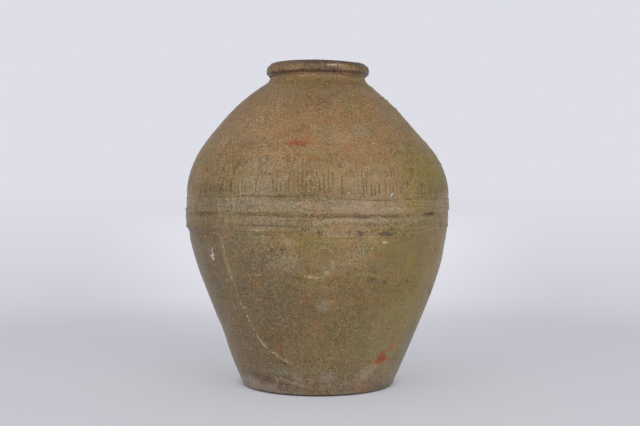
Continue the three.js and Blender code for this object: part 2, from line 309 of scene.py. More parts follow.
def smooth_run(run, step):
    """Points along a cubic curve through the run, about a step apart, with their outward normals."""
    gaps = np.linalg.norm(np.diff(run[:, :2], axis=0), axis=1)
    along = np.concatenate([[0], np.cumsum(gaps)])
    tangents = np.gradient(run, along, axis=0, edge_order=min(2, len(run) - 1))
    count = max(1, round(along[-1] / step))
    places = np.linspace(0, along[-1], count + 1)
    leg = np.clip(np.searchsorted(along, places, side="right") - 1, 0, len(gaps) - 1)
    size = gaps[leg][:, None]
    t = ((places - along[leg]) / gaps[leg])[:, None]
    a, b, c, d = run[leg], tangents[leg] * size, run[leg + 1], tangents[leg + 1] * size
    points = (2 * t**3 - 3 * t**2 + 1) * a + (t**3 - 2 * t**2 + t) * b
    points += (3 * t**2 - 2 * t**3) * c + (t**3 - t**2) * d
    heading = (6 * t**2 - 6 * t) * (a - c) + (3 * t**2 - 4 * t + 1) * b + (3 * t**2 - 2 * t) * d
    heading = unit(heading[:, :2])
    return points, np.column_stack([heading[:, 1], -heading[:, 0]])


# Relief, in mm; turn and height are arrays, and points are in mm

def turned_from(turn, middle):
    """Degrees from a middle turn, the short way round."""
    return (turn - middle + 180) % 360 - 180


def sector(turn, middle, half):
    """1 at the middle of a sector, falling smoothly to 0 at its half width."""
    return smoothstep(np.abs(turned_from(turn, middle)), half, 0.3 * half)


def sector_share(turn, sectors, least=0.0):
    """The largest share at each turn out of sectors given by middle, half width and share."""
    share = np.full(len(turn), least)
    for middle, half, strength in sectors:
        share = np.maximum(share, strength * sector(turn, middle, half))
    return share


def stroke_draw(stroke, kind, seed):
    """A repeatable number from 0 to 1 for each stroke and kind of draw."""
    return hashed(np.column_stack([stroke, np.full_like(stroke, kind), np.zeros_like(stroke)]), seed)


def comb_strokes(turn, height):
    """Depth from 0 to 1 of the combed strokes; each stroke has its own place, lean, length and strength."""
    count = round(2 * math.pi * COMB_RADIUS / COMB_PITCH)
    place = (turn % 360) / 360 * count
    stroke = np.floor(place).astype(np.int64)
    depth = np.zeros(len(turn))
    joined = COMB_JOINED_RISE * sector(turn, *COMB_JOINED)
    for near in (-1, 0, 1):
        each = (stroke + near) % count
        for row, (low, high, strength) in enumerate(COMB_ROWS):
            shift, lean = (stroke_draw(each, kind, PLACE_SEED + row) - 0.5 for kind in (0, 1))
            low_draw, high_draw, force = (stroke_draw(each, kind, LENGTH_SEED + row) for kind in (2, 3, 4))
            bottom = low + STROKE_BOTTOM * (low_draw - 0.4)
            top = high + STROKE_TOP * (high_draw - 0.6) + (joined if row == 0 else 0)
            leaning = STROKE_LEAN * lean * (height - STROKE_PIVOT)
            middle = stroke + near + 0.5 + STROKE_SHIFT * shift + leaning
            body = np.exp(-(((place - middle) * COMB_PITCH / COMB_WIDTH) ** 4))
            length = within(height, *soft_ends(bottom, top, *STROKE_SOFT))
            depth = np.maximum(depth, body * length * strength * smoothstep(force, *STROKE_FORCE))
    return depth


def comb_presence(points, turn):
    """How clearly the combing shows: sharp in some sectors, nearly worn away between them."""
    sharp = sector_share(turn, COMB_SHARP, COMB_WORN)
    return np.clip(sharp + bumps(points, *COMB_PATCHES), 0.04, 1)


def groove_fill(points, turn):
    """Share of the groove that glaze has filled, by place."""
    fill = np.clip(0.2 + bumps(points, FILL_PATCHES), 0, 1)
    return np.maximum(fill, sector_share(turn, GROOVE_FILLED))


def crack_turn(height):
    heights, turns = zip(*CRACK)
    return np.interp(height, heights, turns)


def dent_depth(turn, height):
    """Depth of the dents and chips, and the same as a share of each dent's own depth."""
    depth, share = np.zeros(len(turn)), np.zeros(len(turn))
    for middle, level, wide, tall, deep in DENTS:
        away = np.hypot(turned_from(turn, middle) / wide, (height - level) / tall)
        here = smoothstep(away, 1.0, 0.25)
        depth, share = np.maximum(depth, deep * here), np.maximum(share, here)
    return depth, share


def line_mark(height, level, half):
    """1 within half of a level, with edges about half a millimetre soft."""
    return smoothstep(np.abs(height - level), half + 0.45, half - 0.25)


def girdle_marks(points, turn, height):
    """Darkness of the girdle's groove and lines, from 0 to 1."""
    ragged = bumps(points, LINES_RAGGED)
    dashes = smoothstep(noise(points, *DASHES), -0.2, 0.5)
    bare, broad = sector_share(turn, GROOVE_BARE), sector(turn, *UPPER_BROAD)
    dark = np.clip(0.6 - 0.6 * groove_fill(points, turn) + 0.5 * bare, 0, 1)
    marks = dark * line_mark(height, GROOVE + ragged, 0.75 + 0.9 * bare)
    dark = 0.28 * dashes + 0.8 * sector_share(turn, UPPER_WHOLE)
    marks += dark * line_mark(height, UPPER_LINE + 0.7 * broad + ragged, 0.7 + 0.9 * broad)
    for level, half, broken, worn, whole, strength in FINE_LINES:
        dark = broken * dashes * (1 - worn * sector(turn, *LINES_WORN)) + strength * sector(turn, *whole)
        marks += dark * line_mark(height, level + ragged, half)
    return np.clip(marks, 0, 1)


def spread_out(levels, values, spread):
    """Values by level, smoothed with a bell curve of this spread."""
    weights = np.exp(-(((levels[:, None] - levels[None, :]) / spread) ** 2) / 2)
    return weights @ values / weights.sum(axis=1)


def girdle_shapes(envelope):
    """Heights across the girdle, and its radii there with soft edges and with its grooves smoothed away."""
    levels = np.arange(GIRDLE_RISE[0] - GIRDLE_MARGIN, GIRDLE_FALL[0] + GIRDLE_MARGIN, GIRDLE_STEP)
    sharp = envelope(levels * MM) / MM
    return levels, spread_out(levels, sharp, GIRDLE_SOFT), spread_out(levels, sharp, GIRDLE_PLAIN)


def girdle_relief(points, turn, height, shapes):
    """Movement away from the axis that softens the girdle and fills its grooves unevenly."""
    radius = np.hypot(points[:, 0], points[:, 1])
    levels, *radii = shapes
    soft, plain = (np.interp(height, levels, each) for each in radii)
    here = within(height, GIRDLE_RISE, GIRDLE_FALL)
    kept = np.clip(0.8 + bumps(points, GIRDLE_PATCHES), 0.35, 1.1)
    kept *= 1 - 0.6 * sector(turn, *LOW_WORN) * smoothstep(height, *LOW_WORN_BELOW)
    in_groove = np.exp(-(((height - GROOVE) / GROOVE_REACH) ** 4))
    kept = kept * (1 - in_groove) + in_groove * (0.75 - 0.7 * groove_fill(points, turn))
    return here * (plain + kept * (soft - plain) - radius)


def rim_relief(normal, height):
    """Wear that rounds the outer corners of the lip; the corners face half up or half down."""
    slanting = 4 * normal[0] ** 2 * normal[1] ** 2 if normal[0] > 0 else 0.0
    return -RIM_ROUNDING * slanting * smoothstep(height, *RIM_FROM)


def outer_relief(points, turn, height, normal):
    """Movement of the outer surface along its normal, and the share of tooled marks there."""
    comb = comb_strokes(turn, height) * comb_presence(points, turn)
    dents, dented = dent_depth(turn, height)
    lift = bumps(points, *WALL_BUMPS)
    lift += TURNING_DEPTH * np.sin(height / TURNING_PITCH * 2 * math.pi + bumps(points, TURNING_SWAY))
    crusts = smoothstep(noise(points, *CRUSTS), 0.45, 0.8) * smoothstep(height, *CRUSTED_ABOVE)
    lift += CRUST_HEIGHT * crusts * (0.15 + sector(turn, *CRUSTED))
    lift += rim_relief(normal, height) - COMB_DEPTH * comb - dents
    across = turned_from(turn, crack_turn(height)) / CRACK_WIDTH
    lift -= CRACK_DEPTH * np.exp(-(across**2)) * within(height, *CRACK_ENDS)
    lift *= smoothstep(height, *FOOT_PLAIN)
    lift -= FOOT_UNDERCUT * smoothstep(height, FOOT_EDGE, 0) ** 2
    tooled = np.maximum(comb, girdle_marks(points, turn, height))
    return lift, np.maximum(tooled, 0.25 * dented)


def inner_relief(points, height):
    """Throwing ridges and unevenness of the inside."""
    ridges = RIDGE_DEPTH * np.sin(height / RIDGE_PITCH * 2 * math.pi + bumps(points, RIDGE_SWAY))
    return ridges + bumps(points, INNER_BUMPS)


def uneven(turn, height):
    """Movement away from the axis where the hand left the wall uneven."""
    move = np.zeros(len(turn))
    for middle, half, low, high, soft, size in UNEVEN:
        level = within(height, *soft_ends(low, high, soft, soft))
        move += size * level * sector(turn, middle, half)
    return move


def drift(points, turn, height):
    """Up and down wander of the girdle's edges and of the lip, the same for every piece there."""
    wander = bumps(points, *GIRDLE_WANDER) * within(height, *GIRDLE_NEAR)
    for edge, rise, fall in EDGES:
        turns, moves = zip(*edge)
        wander += np.interp(turned_from(turn, 0), turns, moves) * within(height, rise, fall)
    return wander + LIP_RISE * sector(turn, *LIP_RISE_AT) * smoothstep(height, *LIP_RISE_FROM)


# Meshes

def new_object(name, data):
    """A new object of the scene that shows a mesh, lamp or camera."""
    thing = bpy.data.objects.new(name, data)
    bpy.context.scene.collection.objects.link(thing)
    return thing


def run_kind(node, points, normals, length, envelope):
    """Whether a run of a section is on the outer surface, the inside or a joint."""
    depth = np.mean(envelope(points[:, 1]) - points[:, 0])
    if node == "rim_roll" and length > LONG_RUN:
        return "outer"
    if normals[:, 0].mean() > FACING and depth < SKIN_DEPTH:
        return "outer"
    if normals[:, 0].mean() < -FACING and length > LONG_RUN:
        return "inner"
    return "joint"


def column_count(kind, height):
    """How many columns go round the jar at a height of a run of this kind."""
    if kind != "outer":
        return COARSE
    return FINE if COMB_BAND[0] < height / MM < COMB_BAND[1] else MEDIUM


def piece_rows(node, envelope):
    """The dressed section of a node, as rows (point, normal, kind, columns) all round its loop.

    Where two runs meet, their common point is kept once, as part of the outer surface if either run is.
    """
    section = section_of(node)
    closed = section[0, 0] > SAME_POINT
    rows = []
    for run in runs_of(grown(section, closed), closed):
        points, normals = smooth_run(run, JOINT_STEP)
        length = np.sum(np.linalg.norm(np.diff(run[:, :2], axis=0), axis=1))
        kind = run_kind(node, points, normals, length, envelope)
        if kind != "joint":
            fine = OUTER_STEP if length > LONG_RUN else EDGE_STEP
            points, normals = smooth_run(run, fine if kind == "outer" else INNER_STEP)
        added = [(p, normal, kind, column_count(kind, p[1])) for p, normal in zip(points, normals)]
        if rows and kind == "outer":
            rows.pop()
        elif rows:
            added.pop(0)
        rows += added
    if closed:
        last = rows.pop()
        if last[2] == "outer":
            rows[0] = last
    return rows, closed


def ring_points(row, shapes):
    """Points round the jar for one row of a section, or one on its axis, and the tooled marks there."""
    point, normal, kind, columns = row
    radius, level, lean, tilt = point
    if radius < SAME_POINT:
        return np.array([[lean, 0, level]]), np.zeros(1)
    angle = np.arange(columns) / columns * 2 * math.pi
    around = np.column_stack([np.sin(angle), -np.cos(angle), np.zeros(columns)])
    up = np.array([0, 0, 1.0])
    place = radius * around + level * up
    spots, turn, height = place / MM, np.degrees(angle), np.full(columns, level / MM)
    marks, lift = np.zeros(columns), np.zeros(columns)
    if kind == "outer":
        lift, marks = outer_relief(spots, turn, height, normal)
        place = place + around * (girdle_relief(spots, turn, height, shapes) * MM)[:, None]
    elif kind == "inner":
        lift = inner_relief(spots, height)
    place = place + (around * normal[0] + up * normal[1]) * (lift * MM)[:, None]
    place = place + around * (uneven(turn, height) * MM)[:, None]
    place[:, 2] += drift(spots, turn, height) * MM
    place[:, 2] -= place[:, 0] * tilt
    place[:, 0] += lean
    return place, marks


def strip_faces(a, b, count_a, count_b):
    """Faces between two rings of points that start at a and b; one count may be a multiple of the other."""
    coarse = min(count_a, count_b)
    times_a, times_b = count_a // coarse, count_b // coarse
    for j in range(coarse):
        lower = [a + (j * times_a + k) % count_a for k in range(times_a + 1)]
        upper = [b + (j * times_b + k) % count_b for k in range(times_b, -1, -1)]
        yield lower + upper


def ring_faces(a, b, count_a, count_b):
    """Faces between two rings, either of which may be one point on the axis."""
    if count_a == 1:
        return [[b + (j + 1) % count_b, b + j, a] for j in range(count_b)]
    if count_b == 1:
        return [[a + j, a + (j + 1) % count_a, b] for j in range(count_a)]
    return list(strip_faces(a, b, count_a, count_b))


def dressed_mesh(node, envelope, shapes):
    """A fine closed mesh in the node's place, with its relief and what its material reads at each point."""
    rows, closed = piece_rows(node, envelope)
    rings = [ring_points(row, shapes) for row in rows]
    counts = [len(place) for place, marks in rings]
    starts = [0, *accumulate(counts)]
    faces = []
    for low in range(len(rows) if closed else len(rows) - 1):
        high = (low + 1) % len(rows)
        faces += ring_faces(starts[low], starts[high], counts[low], counts[high])
    mesh = bpy.data.meshes.new(node)
    mesh.from_pydata(np.vstack([place for place, marks in rings]).tolist(), [], faces)
    tooled = np.concatenate([marks for place, marks in rings])
    inside = np.repeat([row[2] != "outer" for row in rows], counts)
    for name, values in (("tooled", tooled), ("inside", inside)):
        attribute = mesh.attributes.new(name, "FLOAT", "POINT")
        attribute.data.foreach_set("value", values.astype(np.float32))
    return mesh


def dressed(node, envelope, shapes, material):
    """The node's dressed piece, in the node's stead."""
    mesh = dressed_mesh(node, envelope, shapes)
    mesh.materials.append(material)
    mesh.update()
    mesh.polygons.foreach_set("use_smooth", [True] * len(mesh.polygons))
    mesh.set_sharp_from_angle(angle=CREASE)
    piece = new_object("jar_" + node, mesh)
    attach(piece, BODY)
    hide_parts(node)


def outer_envelope(nodes):
    """The jar's outer radius as a function of height, over all its sections."""
    levels = np.linspace(0, CAD_BOX[1][2], ENVELOPE_LEVELS)
    reach = np.zeros(len(levels))
    for node in nodes:
        section = section_of(node)
        for first, second in zip(section[:, 1::-1], np.roll(section, -1, 0)[:, 1::-1]):
            (low, low_radius), (high, high_radius) = sorted((tuple(first), tuple(second)))
            edge = np.interp(levels, (low, high), (low_radius, high_radius))
            inside = (levels >= low - SAME_POINT) & (levels <= high + SAME_POINT)
            reach = np.where(inside, np.maximum(reach, edge), reach)
    return lambda heights: np.interp(heights, levels, reach)


# Colours

def srgb(red, green, blue):
    """A colour as it shows on screen, 0 to 255, as the linear values a shader takes."""
    shares = [v / 255 for v in (red, green, blue)]
    return tuple(s / 12.92 if s <= 0.04045 else ((s + 0.055) / 1.055) ** 2.4 for s in shares) + (1.0,)


UMBER = srgb(76, 52, 34)
TOOLED = srgb(91, 66, 30)
LINE_DARK = srgb(86, 69, 49)
RUST = srgb(140, 98, 60)
MOSS = srgb(112, 100, 52)
ASH = srgb(142, 126, 94)
CREAM = srgb(206, 190, 152)
CLAY = srgb(148, 122, 96)
CLAY_DARK = srgb(110, 88, 68)
OLIVE_DARK = srgb(80, 70, 36)
RIM_DARK = srgb(70, 50, 38)
RIM_OCHRE = srgb(132, 104, 68)
RIM_BROWN = srgb(92, 65, 47)
# Colour of the painted contact shadow along the foot's lower edge.
CONTACT_SHADE = srgb(56, 45, 36)
SCUFF = srgb(154, 140, 120)
EARTH = srgb(102, 82, 50)

# Ground colour of the glaze by height in mm, as it shows on screen.
GROUND = (
    (0, 121, 105, 84), (18, 121, 103, 78), (40, 122, 104, 69), (110, 122, 102, 62), (160, 131, 109, 67),
    (176, 132, 112, 75), (196, 137, 118, 84), (208, 134, 111, 70), (245, 145, 115, 75),
    (298, 135, 103, 62), (314, 133, 104, 66), (326, 142, 114, 78), (341, 108, 83, 57),
)

# Lumps of other colours on it: colour, distance between them, seed, detail, the noise at which they start
# and are full, and strength.
DRIFTS = (
    (RUST, 24, 3, 4, 0.52, 0.72, 0.42), (MOSS, 38, 4, 4, 0.52, 0.72, 0.4), (ASH, 17, 5, 4, 0.55, 0.75, 0.42),
)
SCUFFS = ((EARTH, 8, 32, 3, 0.52, 0.62, 0.5), (SCUFF, 5.5, 29, 3, 0.52, 0.62, 0.36))
SPECKS = ((UMBER, 2.5, 18, 1, 0.67, 0.75, 0.55), (CREAM, 2.4, 19, 1, 0.68, 0.76, 0.4))
# Its tints: distance between their places, seed and change of red, green and blue.
TINTS = ((9, 24, (0.28, -0.16, -0.32)), (7, 28, (-0.1, 0.15, -0.15)))

# These settings hold for the stains and for the painted highlights among them.
SPOT_EDGE = (1.4, 0.4)  # shares of its half size between which a stain sets in
SPOT_REACH = 1.6  # half sizes that it reaches at most
SPOT_SWAY = 6  # degrees that noise may move its edge
BROAD_SPOT = 7  # a stain of a larger half size has the broad ragged edge
BROAD_EDGE = (22, 6, (9, 14, 0))  # distance between ragged places, seed, and movement in degrees and mm
CLOSE_EDGE = (5, 7, (2.6, 4.5, 0))
# Stains in the glaze and a few painted highlights, by colour and wear: turn, height, half width in degrees,
# half height in mm, strength.
STAINS_AND_HIGHLIGHTS = (
    (srgb(100, 86, 66), 0.6, (  # grey brown
        (-62, 120, 24, 66, 0.55), (-36, 62, 28, 50, 0.5), (-26, 118, 18, 32, 0.6),
        (-18, 84, 24, 34, 0.6), (-42, 152, 9, 11, 0.4), (8, 82, 16, 26, 0.3), (22, 134, 5, 5, 0.4),
        (178, 90, 44, 62, 0.5))),
    (srgb(106, 97, 82), 0.5, (  # grey
        (-36, 160, 16, 18, 0.35), (-52, 136, 12, 18, 0.25), (-26, 142, 12, 18, 0.3),
        (-38, 192, 14, 10, 0.3), (34.5, 193, 3, 5, 0.5), (-14, 195, 6, 5, 0.35),
        (12.2, 193, 2.6, 5, 0.4), (25, 191.5, 3, 3, 0.35), (-23, 175, 10, 2.6, 0.35),
        (-7, 232, 7, 8, 0.25))),
    (srgb(150, 120, 80), 0.5, (  # tan
        (-74, 246, 16, 50, 0.45), (-70, 198, 12, 18, 0.4), (66, 132, 12, 44, 0.65),
        # The tan patch at turn 26, height 186.4 is a painted highlight along the upper strip's lower edge.
        (3.5, 169.5, 5, 4, 0.6), (26, 186.4, 14, 2.0, 0.8), (-42, 214, 5, 8, 0.4),
        (-43, 260, 13, 22, 0.5), (32, 214, 6, 8, 0.45), (13, 158, 7, 6, 0.6), (24, 195, 7, 5, 0.35),
        (-40, 161, 6, 5, 0.4), (17, 163, 3, 4, 0.4), (23, 205, 7, 6, 0.5), (36, 198, 4, 5, 0.45),
        (30, 189, 10, 3, 0.5), (36, 182, 3, 3, 0.6), (9, 200, 8, 4, 0.4), (2, 170, 7, 4, 0.5),
        (-53, 249, 9, 10, 0.4), (32, 229, 10, 8, 0.35), (24, 160, 9, 4, 0.4), (9, 161.5, 7, 3, 0.5))),
    (srgb(114, 86, 46), 0.6, (  # golden
        (-3, 304, 30, 20, 0.55), (-38, 240, 9, 24, 0.12), (5, 205, 15, 4.5, 0.45),
        (-8, 170, 34, 3.6, 0.4), (20, 105, 16, 16, 0.3), (-8, 178, 7, 3, 0.65), (6, 195, 6, 5, 0.35),
        (-52, 214, 6, 6, 0.4), (10, 249, 9, 11, 0.3), (-11, 210, 9, 7, 0.5), (51, 254, 12, 22, 0.35),
        (-6, 58, 24, 28, 0.36), (-56, 163, 9, 8, 0.75), (-72, 163, 8, 8, 0.4), (-60, 206, 6, 8, 0.35),
        (54, 236, 9, 13, 0.4), (3, 201.5, 9, 3, 0.45), (2, 88, 12, 18, 0.3), (160, 300, 40, 16, 0.35),
        (-10, 203, 8, 5, 0.4), (-4, 12, 16, 9, 0.35), (35, 249, 9, 9, 0.3))),
    (srgb(146, 130, 94), 0.6, (  # sage
        (48, 62, 20, 40, 0.55), (60, 30, 16, 20, 0.4), (9, 166, 6, 4, 0.5), (-100, 60, 20, 30, 0.4))),
    (srgb(120, 107, 54), 0.6, (  # olive
        (58, 230, 20, 32, 0.85), (54, 108, 26, 66, 0.6), (38, 150, 18, 18, 0.5), (22, 60, 22, 34, 0.22),
        (23, 295, 8, 13, 0.45), (50, 322, 22, 5, 0.5), (-3, 158, 8, 8, 0.75), (-5, 172.8, 9, 2, 0.6),
        (-50, 207, 7, 6, 0.4), (60, 190, 24, 18, 0.6), (48, 170, 22, 6, 0.5), (62, 285, 14, 22, 0.4),
        (-12, 312, 30, 8, 0.3), (105, 150, 22, 44, 0.5), (150, 235, 26, 24, 0.55),
        (-120, 100, 26, 34, 0.5), (-100, 250, 18, 30, 0.35))),
    (srgb(136, 116, 46), 0.6, (  # yellow
        (40, 212, 5, 26, 0.5), (40, 190, 5.5, 14, 0.5), (54, 228, 12, 15, 0.5),
        (43.2, 135, 3.4, 8, 0.85), (54, 95, 16, 44, 0.3), (30, 170, 9, 4, 0.35), (128, 200, 8, 22, 0.5),
        (-160, 180, 9, 16, 0.4))),
    (srgb(150, 138, 114), 0.5, (  # ash
        (-23.5, 212, 12, 12, 0.38), (-29.5, 193, 14, 6.5, 0.34), (-23.5, 178.4, 14, 3.0, 0.28),
        (4, 193, 20, 6, 0.3), (16, 178.6, 18, 2.6, 0.42), (40, 178.6, 14, 2.4, 0.35),
        # The ash patch at turn 27, height 187.4 is a painted highlight along the upper strip's lower edge.
        (22, 265, 5, 6.5, 0.3), (50, 283, 10, 12, 0.2), (27, 187.4, 13, 2.6, 0.55),
        (-16.5, 252, 1.8, 3.5, 0.45), (2.5, 96, 3.6, 7, 0.5), (7.3, 21, 5, 5, 0.5),
        (66, 190, 12, 8, 0.3), (-25, 231, 9, 9, 0.38), (-13, 138, 8, 9, 0.3), (31, 24, 7, 9, 0.35),
        # The ash patches at turn 82, height 197 and at turn 84, height 228 are painted highlights along the
        # right edge.
        (-24, 306, 9, 14, 0.1), (82, 197, 7, 12, 0.42), (84, 228, 7, 14, 0.36), (170, 190, 40, 7, 0.5),
        (-110, 178, 30, 6, 0.45), (95, 20, 20, 14, 0.5))),
    (srgb(150, 136, 121), 0.5, (  # mauve
        (-58, 8, 18, 8, 0.85), (-38, 6, 12, 4, 0.75), (-13, 17, 5, 6, 0.4), (5, 21, 4, 5, 0.4),
        (34, 24.5, 4.5, 7, 0.5), (-84, 110, 12, 70, 0.35), (62, 14, 14, 12, 0.25), (-26, 27, 12, 4, 0.3),
        (-120, 12, 24, 10, 0.5))),
    (srgb(158, 130, 98), 0.6, (  # pink
        (24, 212, 17, 10, 0.36), (-1.2, 172, 2.8, 3.4, 0.5), (12.5, 169, 6.5, 6.5, 0.5),
        (2, 169.5, 6, 4, 0.5), (16, 190, 24, 10, 0.4), (32, 174, 9, 3, 0.35), (7, 258, 9, 8, 0.35),
        (8, 133, 6, 7, 0.4), (-44, 266, 15, 24, 0.32), (-28, 257, 8, 10, 0.25), (-28, 290, 9, 11, 0.3),
        (-10.8, 156.5, 2.4, 4.4, 0.7), (13.5, 142, 5, 9, 0.6), (19, 149, 3, 4, 0.4),
        (-13, 22, 3, 3.5, 0.5), (36, 28.5, 4.2, 5.5, 0.8), (31.8, 20.5, 4.6, 5.5, 0.85),
        (27.5, 13.5, 4.6, 5, 0.7), (50, 49.5, 2.6, 3, 0.6), (-130, 215, 16, 14, 0.4),
        (110, 245, 18, 20, 0.35))),
    (srgb(152, 100, 52), 0.5, (  # orange
        (12.2, 247, 3, 6.5, 0.5), (-2.2, 239, 3.6, 3.6, 0.5), (29.2, 241.5, 2.4, 3.5, 0.4),
        (35.5, 250.5, 5, 5, 0.15), (38.5, 34.2, 4, 3.6, 0.75), (46.8, 36, 2.8, 2.8, 0.65),
        (42, 36.5, 5.5, 6.5, 0.5), (48, 50.5, 1.8, 4.5, 0.45), (56.3, 41.5, 1.8, 2.4, 0.4),
        (26.3, 145.5, 4, 4, 0.35), (-28.5, 115.5, 2.6, 4.5, 0.4), (-32.5, 126, 2.4, 4.5, 0.3),
        (-30.5, 121, 1.6, 4, 0.3), (-35.2, 62.5, 2.0, 3.6, 0.6), (-23.5, 50.5, 2.6, 6, 0.35),
        (-6.2, 103.5, 4, 9, 0.2), (-1, 75.5, 4.2, 9, 0.2), (7.3, 98, 4, 6, 0.28),
        (19.2, 100.5, 2.8, 4, 0.28), (-16, 263, 4, 4, 0.3), (-8, 256, 8, 5, 0.3), (33, 7.5, 4, 3.4, 0.6),
        (140, 120, 5, 8, 0.5), (-150, 60, 6, 9, 0.45))),
    (srgb(142, 66, 31), 0.25, (  # red
        (-9, 252.4, 6.5, 3.6, 0.65), (-7.5, 251.4, 3.4, 3.0, 0.85), (-12.5, 253.2, 3.2, 2.6, 0.6),
        (-17.5, 260.5, 3.4, 3, 0.2), (-14.5, 264.5, 3.4, 3, 0.2), (42, 37, 4.4, 5.6, 1.0),
        (41.2, 43, 2.4, 3.8, 0.75), (45.6, 45, 2.6, 1.8, 0.5), (48.2, 49.5, 2.6, 5, 0.45),
        (53.5, 35, 4.5, 2.2, 0.4))),
    (srgb(84, 66, 44), 0.5, (  # umber
        (-48, 205, 9, 8, 0.36), (-33, 254, 6, 9, 0.3), (-37, 235, 6, 10, 0.28), (-56, 190, 7, 14, 0.14),
        (4.8, 295.5, 5, 5.2, 0.2), (-46, 20, 10, 4, 0.75), (-35, 16, 7, 4.5, 0.8),
        (-25, 11, 6, 4.5, 0.85), (-19.8, 291, 6, 1.1, 0.55), (-66, 182, 14, 3, 0.3),
        (-70, 166, 14, 1.8, 0.5), (68.3, 105, 1.2, 6, 0.9), (80, 10, 14, 9, 0.7), (76, 36, 8, 24, 0.4),
        (52, 5, 16, 4, 0.35), (-165, 14, 16, 7, 0.5))),
    (srgb(80, 69, 58), 0.35, (  # slate
        (17.4, 166, 1.5, 3.0, 0.75), (28.3, 164.8, 4.2, 2.3, 0.9), (37.5, 163, 0.9, 1.4, 0.85),
        (42, 164, 1.3, 1.6, 0.85), (0.8, 166.5, 1.1, 3.2, 0.7), (12.5, 167, 0.9, 2, 0.5),
        (30.2, 170.5, 0.9, 1.1, 0.7), (51, 197, 1.3, 1.2, 0.75), (56.5, 196.5, 1.6, 1.1, 0.7),
        (42.5, 226.5, 1.1, 4, 0.5), (41.2, 218.5, 1.1, 3, 0.5), (8.8, 230.5, 1.2, 2.6, 0.4),
        (-14.3, 151, 1.9, 3.2, 0.5), (24, 120, 2.7, 3.0, 0.6), (30.2, 117.5, 1.3, 2.4, 0.7),
        (25, 128, 1, 1.4, 0.6), (43.8, 117, 0.9, 1.6, 0.85), (20.2, 148, 1, 1.6, 0.7),
        (62, 147, 1.4, 1.7, 0.8), (63, 62, 8, 12, 0.25), (36, 208, 0.9, 4, 0.5),
        (39.5, 214, 1.1, 3.6, 0.5), (120, 165, 5, 2.4, 0.7))),
    (CREAM, 0.4, (  # cream
        (-24, 169, 5.5, 1.1, 0.3), (-24, 162.8, 5.5, 0.9, 0.2), (6, 136, 0.9, 5, 0.22),
        (4, 128, 1.4, 3.0, 0.3), (-0.8, 123.8, 5, 1.4, 0.38), (28.2, 157, 1.7, 0.9, 0.75),
        (12, 204, 0.5, 0.7, 0.9), (-46.2, 91, 0.7, 2, 0.5), (-46, 117.5, 0.6, 1.4, 0.35),
        (-26, 125, 1, 1, 0.4), (-13, 325.5, 3, 0.8, 0.4), (-5, 325.8, 3, 0.7, 0.35))),
    (srgb(212, 205, 190), 0.3, (  # white
        (-51.6, 144.5, 0.6, 6, 0.8), (-53, 141.5, 1.1, 1.6, 0.55), (-52, 139, 0.9, 2.2, 0.8),
        # These three white spots near turn 31, height 203 are painted glints.
        (31, 203.2, 0.5, 0.9, 0.9), (31.8, 205, 0.4, 0.8, 0.9), (30.2, 202, 0.4, 0.7, 0.8))),
)


# Materials, made of fields

SEED_STEP = 7.31  # distance between the noises of two seeds
# Pieces that reach below the second height get the painted contact shadow along the foot.
SCUFFED_BELOW, CONTACT_SHADE_BELOW, LIP_ABOVE = 20, 1, 330  # pieces that reach past these heights get these marks
# Bands of height or of turn in which marks lie: start, end and softness.
SCUFFED = (6, 24, 5)
CRACKED, SECOND_CRACKED = (31, 160, 4), (38, 56, 4)  # the crack, and a short second line beside it
CRACK_STAINED = ((116, 160, 6), (33, 53, 5))
LIP_FRONT, LIP_RIGHT, LIP_LEFT = (-13, 26, 8), (46, 150, 10), (-80, -32, 10)
FLECKED, FLECKED_LEFT, FLECKED_RIGHT = (333.5, 336.5, 1.0), (-8, 3, 3), (8, 30, 5)
UPPER_OLIVE = (196.6, 203.2, 0.6)  # the girdle's upper line
GRAIN_WEAK, GRAIN_STRONG = (26, 84, 12), (-110, -6, 14)
STREAKED, STREAKED_LEFT, LINED = (172, 236, 14), (-80, -28, 10), (160, 203, 3)
# Heights between which marks set in or fade, some with a strength.
# The second pair here is where the foot's painted contact shadow fades, with its strength.
CRACK_FAINT, CONTACT_SHADE_EDGE = (90, 110, 0.7), (2.3, 0.9, 0.85)
# The last pair here is where the lip's dark lower edge, partly painted shade, fades upward.
LIP_FROM, LIP_EDGES_FROM, LIP_LOWER_EDGE = (326, 328), (327, 328.5), (331.3, 329.5)
LOW_LINES, GRAIN_WEAK_BELOW, GRAIN_STRONG_ABOVE = (179, 177), (175, 150), (240, 262, 0.55)
# The crack: sway, degrees from its middle at which its lines and its stain set in and are full, with
# strength, and how far its second line lies beside it.
CRACK_SWAY, CRACK_LINE, SECOND_LINE = 3.2, (0.55, 0.15), (0.6, 0.2, 0.7)
CRACK_PALE, SECOND_BESIDE = (1.5, 0.3, 0.3), 2.2
# Noises of the finish: distance between lumps, seed and, where it isn't 2, detail.
SPOT_WEAR, CRACK_RAGGED, CRACK_BROKEN = (3.2, 8, 3.0), (5, 9, 4.0), (4, 10, 3.0)
LIP_RAGGED, LIP_BLOTS, LIP_FLECKS = (7, 11, 3.0), (4.5, 31, 3.0), (2.2, 12, 3.0)
FOOT_RAGGED, TOOLED_KEPT, GRAIN_PATCHES, CLOUDS = (9, 27), (5, 13), (32, 23), (19, 16, 3.0)
STREAKS, TURNING_LINES, GRAIN, LUMPS = (0.8, 17), (1.7, 26), (1.5, 14), (4, 15)
GLOSS, CLAY_CLOUDS, GRIT = (12, 21, 3.0), (14, 20, 4.0), (1.8, 22)
STREAK_STRETCH, LINE_STRETCH = 0.05, (0.033, 0.033, 1.0)  # draw streaks out upright, lines sideways
GLAZE_BUMP, CLAY_BUMP = 0.28 * MM, 0.5 * MM
GLEAM = {"Specular IOR Level": 0.4, "Coat Weight": 0.5, "Coat Roughness": 0.3, "Coat IOR": 1.15}


def join(value, socket):
    """Links a field to a socket, or sets the socket to a plain value."""
    if isinstance(value, Field):
        value.tree.links.new(value.socket, socket)
    else:
        socket.default_value = value


